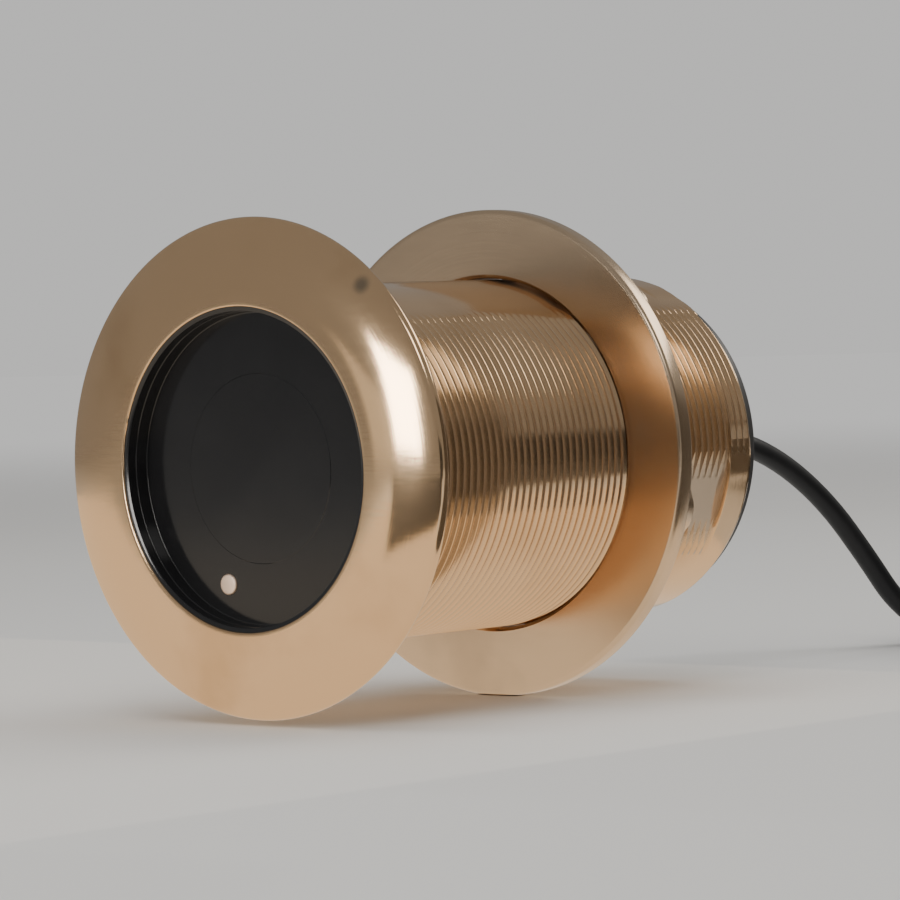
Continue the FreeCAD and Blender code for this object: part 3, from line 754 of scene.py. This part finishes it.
def relief_piece():
    """The grooved sleeve where the cable leaves the cap."""
    length = relief_high.x - relief_low.x
    profile = sleeve_profile(
        relief_low.x, length, relief_root_r, relief_tip_r, relief_grooves,
        (relief_high.z, relief_base_thick))
    bm = lathe(profile, 96)
    return piece("relief", bm, rubber_black, "transducer", 30, ["strain_relief"])


def coil_points():
    """The control points of the coil: columns inwards and outwards, layer on layer."""
    inside = math.cos(math.pi / turn_points)
    points = []

    def place(turn):
        layer, column = divmod(turn, coil_columns)
        if layer % 2 == 0:
            column = coil_columns - 1 - column
        return coil_inner_r + (2 * column + 1) * cable_r, coil_low.z + (2 * layer + 1) * cable_r

    for turn in range(coil_whole_turns + 1):
        here_r, here_z = place(turn)
        next_r, next_z = place(turn + 1)
        for k in range(turn_points):
            share = smooth((k - (turn_points - step_points) + 0.5) / step_points)
            a = math.radians(90 - 360 / turn_points * k)
            if turn == coil_whole_turns and k > 2:
                return points
            if turn == 0 and k == 0:
                continue
            r = (here_r + (next_r - here_r) * share) / inside
            z = here_z + (next_z - here_z) * share
            points.append(coil_centre + Vector((r * math.cos(a), r * math.sin(a), z)))
    return points


def cable_piece():
    """The whole cable on one smooth line, from the strain relief to the plug."""
    points = cable_route + coil_points() + tail_route
    curve = bpy.data.curves.new("cable_line", "CURVE")
    curve.dimensions = "3D"
    spline = curve.splines.new("NURBS")
    spline.points.add(len(points) - 1)
    for control, point in zip(spline.points, points):
        control.co = (*point, 1)
    spline.order_u = 3
    spline.use_endpoint_u = True
    spline.resolution_u = 6
    curve.bevel_depth = cable_r
    curve.bevel_resolution = 6
    curve.use_fill_caps = True
    made = bpy.data.objects.new("cable_cord", curve)
    bpy.context.scene.collection.objects.link(made)
    curve.materials.append(jacket_black.material)
    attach(made, "transducer")
    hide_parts("cable", "cable_coil", "cable_tail")
    return made


def tie_pieces():
    """The woven bands round the coil, each a closed loop with rounded corners."""
    corner = 2 * tie_thick
    low = coil_low.z
    high = coil_high.z
    inner = coil_inner_r
    outer = coil_outer_r
    bm = bmesh.new()
    for angle in tie_angles:
        corners = (
            (inner + corner, low + corner, 270, 180), (inner + corner, high - corner, 180, 90),
            (outer - corner, high - corner, 90, 0), (outer - corner, low + corner, 0, -90))
        loop = []
        for x, z, start, end in corners:
            loop += arc(x, z, corner + 0.02 * MM, start, end, 5)
        middle = Vector(((inner + outer) / 2, (low + high) / 2))
        half_wide = (outer - inner) / 2 - corner
        half_high = (high - low) / 2 - corner
        rings = []
        for offset in (0, tie_thick):
            ring = []
            for x, z in loop:
                out = Vector((
                    math.copysign(max(0, abs(x - middle.x) - half_wide), x - middle.x),
                    math.copysign(max(0, abs(z - middle.y) - half_high), z - middle.y)))
                moved = Vector((x, z)) + out.normalized() * offset
                ring.append(bm.verts.new((moved.x, -tie_width / 2, moved.y)))
            rings.append(ring)
        strip = []
        for ring in rings:
            strip += [bm.edges.new(pair) for pair in zip(ring, ring[1:] + ring[:1])]
        faces = bmesh.ops.bridge_loops(bm, edges=strip)["faces"]
        pushed = bmesh.ops.extrude_face_region(bm, geom=faces)["geom"]
        verts = [v for v in pushed if isinstance(v, bmesh.types.BMVert)]
        bmesh.ops.translate(bm, verts=verts, vec=(0, tie_width, 0))
        band = [v for ring in rings for v in ring] + verts
        place = Matrix.Translation(coil_centre) @ Matrix.Rotation(math.radians(angle), 4, "Z")
        bmesh.ops.transform(bm, matrix=place, verts=band)
    return piece("ties", bm, tie_cloth, "transducer", 30, ["coil_ties"])


def on_plug(bm):
    """Moves a piece made along +X from the origin to the plug's place."""
    place = Matrix.Translation(tail_route[-1]) @ Matrix.Rotation(math.pi, 4, "Z")
    bmesh.ops.transform(bm, matrix=place, verts=bm.verts)
    return bm


def boot_piece():
    """The plug's grooved rubber boot."""
    profile = [(boot_length - x, r) for x, r in sleeve_profile(
        0, boot_length, boot_root_r, boot_tip_r, boot_grooves)]
    bm = on_plug(lathe(profile, 72))
    return piece("boot", bm, rubber_black, "transducer", 30, ["plug_boot"])


def shell_piece():
    """The plug's body: a grip with six shallow grooves, a collar and the barrel."""
    edge = 0.6 * MM
    profile = [(boot_length, 3 * MM)] + arc(boot_length + edge, shell_r - edge, edge, 180, 90, 4)
    grip_rows = 10
    grip_length = grip_end - boot_length - 2 * edge
    for k in range(1, grip_rows):
        profile.append((boot_length + edge + grip_length * k / grip_rows, shell_r))
    profile += arc(grip_end - edge, shell_r - edge, edge, 90, 0, 4)
    end_x = boot_length + shell_length
    collar_r = barrel_r + ring_lip - ring_gap
    collar_start = grip_end + ring_lip + 2 * ring_gap
    collar_end = grip_end + ring_lip + 3 * MM
    profile += [
        (grip_end, barrel_r), (collar_start, barrel_r), (collar_start, collar_r),
        (collar_end, collar_r), (collar_end, barrel_r), (end_x, barrel_r),
        (end_x, nose_r), (end_x - nose_length / 2, nose_r), (end_x - nose_length / 2, 3 * MM)]
    bm = lathe(profile, 144)
    margin = 2 * MM
    for vert in bm.verts:
        radius = radius_of(vert)
        half_pitch = grip_groove_pitch_deg / 2
        off = abs(turned_by(angle_of(vert.co) % grip_groove_pitch_deg, half_pitch))
        cut = smooth((off - half_pitch + grip_groove_half_deg) / 5)
        inside = boot_length + margin < vert.co.x < grip_end - margin
        if inside and radius > shell_r - 0.01 * MM and cut > 0:
            set_radius(vert, radius - grip_groove_depth * cut)
    return piece(
        "plug_body", on_plug(bm), plug_black, "transducer", 30, ["plug_shell"])


def insert_piece():
    """The plug's insulating nose with its key groove."""
    start_x = boot_length + shell_length - nose_length / 2
    edge = 0.4 * MM
    r = nose_r - 0.02 * MM
    key_half_deg = 7
    key_depth = 0.9 * MM
    profile = [(start_x, 0), (start_x, r)]
    profile += arc(start_x + nose_length - edge, r - edge, edge, 90, 0, 4)
    profile += [(start_x + nose_length, 0)]
    bm = lathe(profile, 120, False)
    for vert in bm.verts:
        if abs(turned_by(angle_of(vert.co), 90)) < key_half_deg and radius_of(vert) > 0.9 * nose_r:
            set_radius(vert, nose_r - key_depth)
    return piece(
        "insert", on_plug(bm), insert_grey, "transducer", 30, ["plug_insert"])


def contacts_piece():
    """The gold pins of the plug, one in the middle and six round it."""
    end_x = boot_length + shell_length + nose_length / 2 + pin_lead
    start_x = end_x - pin_length
    tip = 0.35 * MM
    bm = bmesh.new()
    places = [(0, 0)]
    for k in range(pin_count):
        a = math.radians(360 / pin_count * k)
        places.append((-pin_circle_r * math.cos(a), pin_circle_r * math.sin(a)))
    for y, z in places:
        profile = [(start_x, 0), (start_x, pin_r)]
        profile += arc(end_x - tip, pin_r - tip, tip, 90, 0, 3) + [(end_x, 0)]
        single = lathe(profile, 20, False, y, z)
        pin = bpy.data.meshes.new("pin")
        single.to_mesh(pin)
        single.free()
        bm.from_mesh(pin)
        bpy.data.meshes.remove(pin)
    return piece(
        "contacts", on_plug(bm), contact_gold, "transducer", 35, ["plug_contacts"])


def ring_piece():
    """The knurled coupling ring that turns on the plug."""
    start_x = grip_end + ring_gap
    end_x = start_x + ring_length
    edge = 0.7 * MM
    rows = 12
    profile = [(start_x, barrel_r + ring_gap)]
    profile += arc(start_x + edge, ring_r - edge, edge, 180, 90, 4)
    for k in range(1, rows):
        profile.append((start_x + edge + (ring_length - 2 * edge) * k / rows, ring_r))
    profile += arc(end_x - edge, ring_r - edge, edge, 90, 0, 4)
    profile += [
        (end_x, barrel_r + ring_lip), (start_x + ring_lip, barrel_r + ring_lip),
        (start_x + ring_lip, barrel_r + ring_gap)]
    bm = lathe(profile, 192)
    for vert in bm.verts:
        radius = radius_of(vert)
        if radius < ring_r - 0.2 * MM:
            continue
        off = abs(turned_by(angle_of(vert.co) % knurl_pitch_deg, knurl_pitch_deg / 2))
        from_end = min(vert.co.x - start_x, end_x - vert.co.x)
        cut = smooth((off - 6.5) / 3.5) * smooth((from_end - 1.2 * MM) / (0.8 * MM))
        set_radius(vert, radius - knurl_depth * cut)
    return piece(
        "coupling", on_plug(bm), plug_black, "coupling_ring", 30, ["coupling_ring"])


def dress_inner_nodes():
    """Gives every hidden CAD node that stays its own finish."""
    for node, finish in inner_finishes.items():
        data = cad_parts[node].data
        data.materials.clear()
        data.materials.append(finish.material)


def new_mesh_object(name, bm):
    """An object of the studio, made from a bmesh."""
    mesh = bpy.data.meshes.new(name)
    bm.to_mesh(mesh)
    bm.free()
    made = bpy.data.objects.new(name, mesh)
    bpy.context.scene.collection.objects.link(made)
    return made


def studio_floor():
    """A pale round floor that fades into the background far from the object."""
    bm = bmesh.new()
    bmesh.ops.create_circle(bm, cap_ends=True, segments=96, radius=9)
    bmesh.ops.translate(bm, verts=bm.verts, vec=(0, 0, floor_z))
    floor = new_mesh_object("floor", bm)
    made = Finish("floor_paper", roughness=0.9)
    made.shade(base_color=made.mix(made.noise(3, 2), (0.72, 0.715, 0.70), (0.75, 0.745, 0.73)))
    glow = made.node("ShaderNodeEmission", {"Color": (*background, 1), "Strength": 1.0})
    far = made.rise(made.radius(axis="Z"), 1.2, 5.0)
    paper = Link(made, made.shader.outputs[0])
    both = made.node("ShaderNodeMixShader", (far, paper, glow))
    made.fill(made.tree.nodes["Material Output"].inputs["Surface"], both)
    floor.data.materials.append(made.material)


def softbox(name, place, target, width, height, power, tint=(1, 1, 1), mirrored=True):
    """A rectangular studio light that the camera never sees, and reflections only if mirrored."""
    light = bpy.data.lights.new(name, "AREA")
    light.shape = "RECTANGLE"
    light.size = width
    light.size_y = height
    light.energy = power
    light.color = tint
    made = bpy.data.objects.new(name, light)
    away = Vector(place) - Vector(target)
    made.location = place
    made.rotation_euler = away.to_track_quat("Z", "Y").to_euler()
    made.visible_camera = False
    made.visible_glossy = mirrored
    bpy.context.scene.collection.objects.link(made)


def card(name, corners, glow=(0, 0, 0), behind=False, fades=False):
    """A studio card, black or with an even glow.

    Only reflections show it, or only the camera if it is behind the object. It may fade in
    with the distance from the object."""
    bm = bmesh.new()
    bm.faces.new([bm.verts.new(corner) for corner in corners])
    made = new_mesh_object(name, bm)
    finish = Finish(name, base_color=(0.003, 0.003, 0.003), roughness=1.0)
    finish.shade(emission_color=glow, emission_strength=1.0)
    if fades:
        finish.shade(alpha=finish.rise(finish.radius(axis="Z"), 0.7, 2.6))
    made.data.materials.append(finish.material)
    made.visible_camera = behind
    made.visible_glossy = not behind
    made.visible_diffuse = False
    made.visible_shadow = False
    made.visible_transmission = False


def on_floor(low_x, low_y, high_x, high_y):
    """The corners of a card that lies just above the floor."""
    z = floor_z + card_lift
    return [(low_x, low_y, z), (high_x, low_y, z), (high_x, high_y, z), (low_x, high_y, z)]


def wall(x, y, far_x, far_y, low, high):
    """The corners of a card that stands upright."""
    return [(x, y, low), (far_x, far_y, low), (far_x, far_y, high), (x, y, high)]


def camera_view():
    """The camera at the photograph's angle."""
    camera = bpy.data.cameras.new("camera")
    camera.lens = camera_lens_mm
    camera.sensor_width = 36
    camera.clip_start = 0.01
    camera.clip_end = 50
    made = bpy.data.objects.new("camera", camera)
    bpy.context.scene.collection.objects.link(made)
    right = Vector(camera_right)
    up = Vector(camera_up)
    turn = Matrix((right, up, right.cross(up))).transposed().to_4x4()
    made.matrix_world = Matrix.Translation(camera_place) @ turn
    bpy.context.scene.camera = made


def studio():
    """Background, lights and cards."""
    world = bpy.data.worlds.new("studio")
    bpy.context.scene.world = world
    world.use_nodes = True
    world.node_tree.nodes["Background"].inputs["Color"].default_value = (*background, 1)
    studio_floor()
    softbox("top_light", (0.1, -0.1, 1.5), (0.1, 0, 0), 1.6, 1.6, 16, mirrored=False)
    softbox("key_light", (-0.85, -0.7, 0.85), (0, 0, 0), 0.4, 0.4, 2.5, (1, 0.97, 0.93))
    softbox("face_light", (-1.03, 0.176, 0.142), (0, 0, 0), 0.32, 0.27, 4.0, (1, 0.97, 0.92))
    softbox("stem_light", (1.43, -0.65, 1.06), (0.1, 0, 0), 1.2, 0.56, 8.2, (1, 0.95, 0.87))
    z = floor_z + card_lift
    near_edge = [(0.36, -0.185, z), (0.2, -0.124, z), (-0.1, -0.122, z)]
    card("band_card", [(-0.1, -0.7, z), (1.8, -0.7, z)] + near_edge, card_brown)
    card("side_card", wall(0, -0.7, 2.6, -0.7, floor_z, 0.32), card_brown)
    over = floor_z + 1.25 * card_lift
    card("front_card", [
        (-0.205, -0.195, over), (-0.228, 0.05, over), (-1.18, 0.494, over), (-1.07, -0.796, over)])
    card("front_wall", wall(-0.70, -0.25, -0.40, -0.75, floor_z, 0.08))
    card("side_glow", wall(-0.819, 0.574, -0.945, 0.326, -0.03, 0.10), (0.76, 0.70, 0.60))
    card("bounce_card", on_floor(-0.6, -0.12, 0.185, 0.8), (1.0, 0.845, 0.66))
    card("backdrop", wall(5.9, 2.4, 3.3, 5.4, floor_z, 3), pale, True)
    card("far_floor", on_floor(-8, -8, 8, 8), pale, True, True)


casting_piece()
nut_piece()
window_piece()
button_piece()
cap_piece()
relief = relief_piece()
cable = cable_piece()
ties = tie_pieces()
boot = boot_piece()
shell = shell_piece()
insert = insert_piece()
contacts = contacts_piece()
coupling = ring_piece()
dress_inner_nodes()
studio()
camera_view()
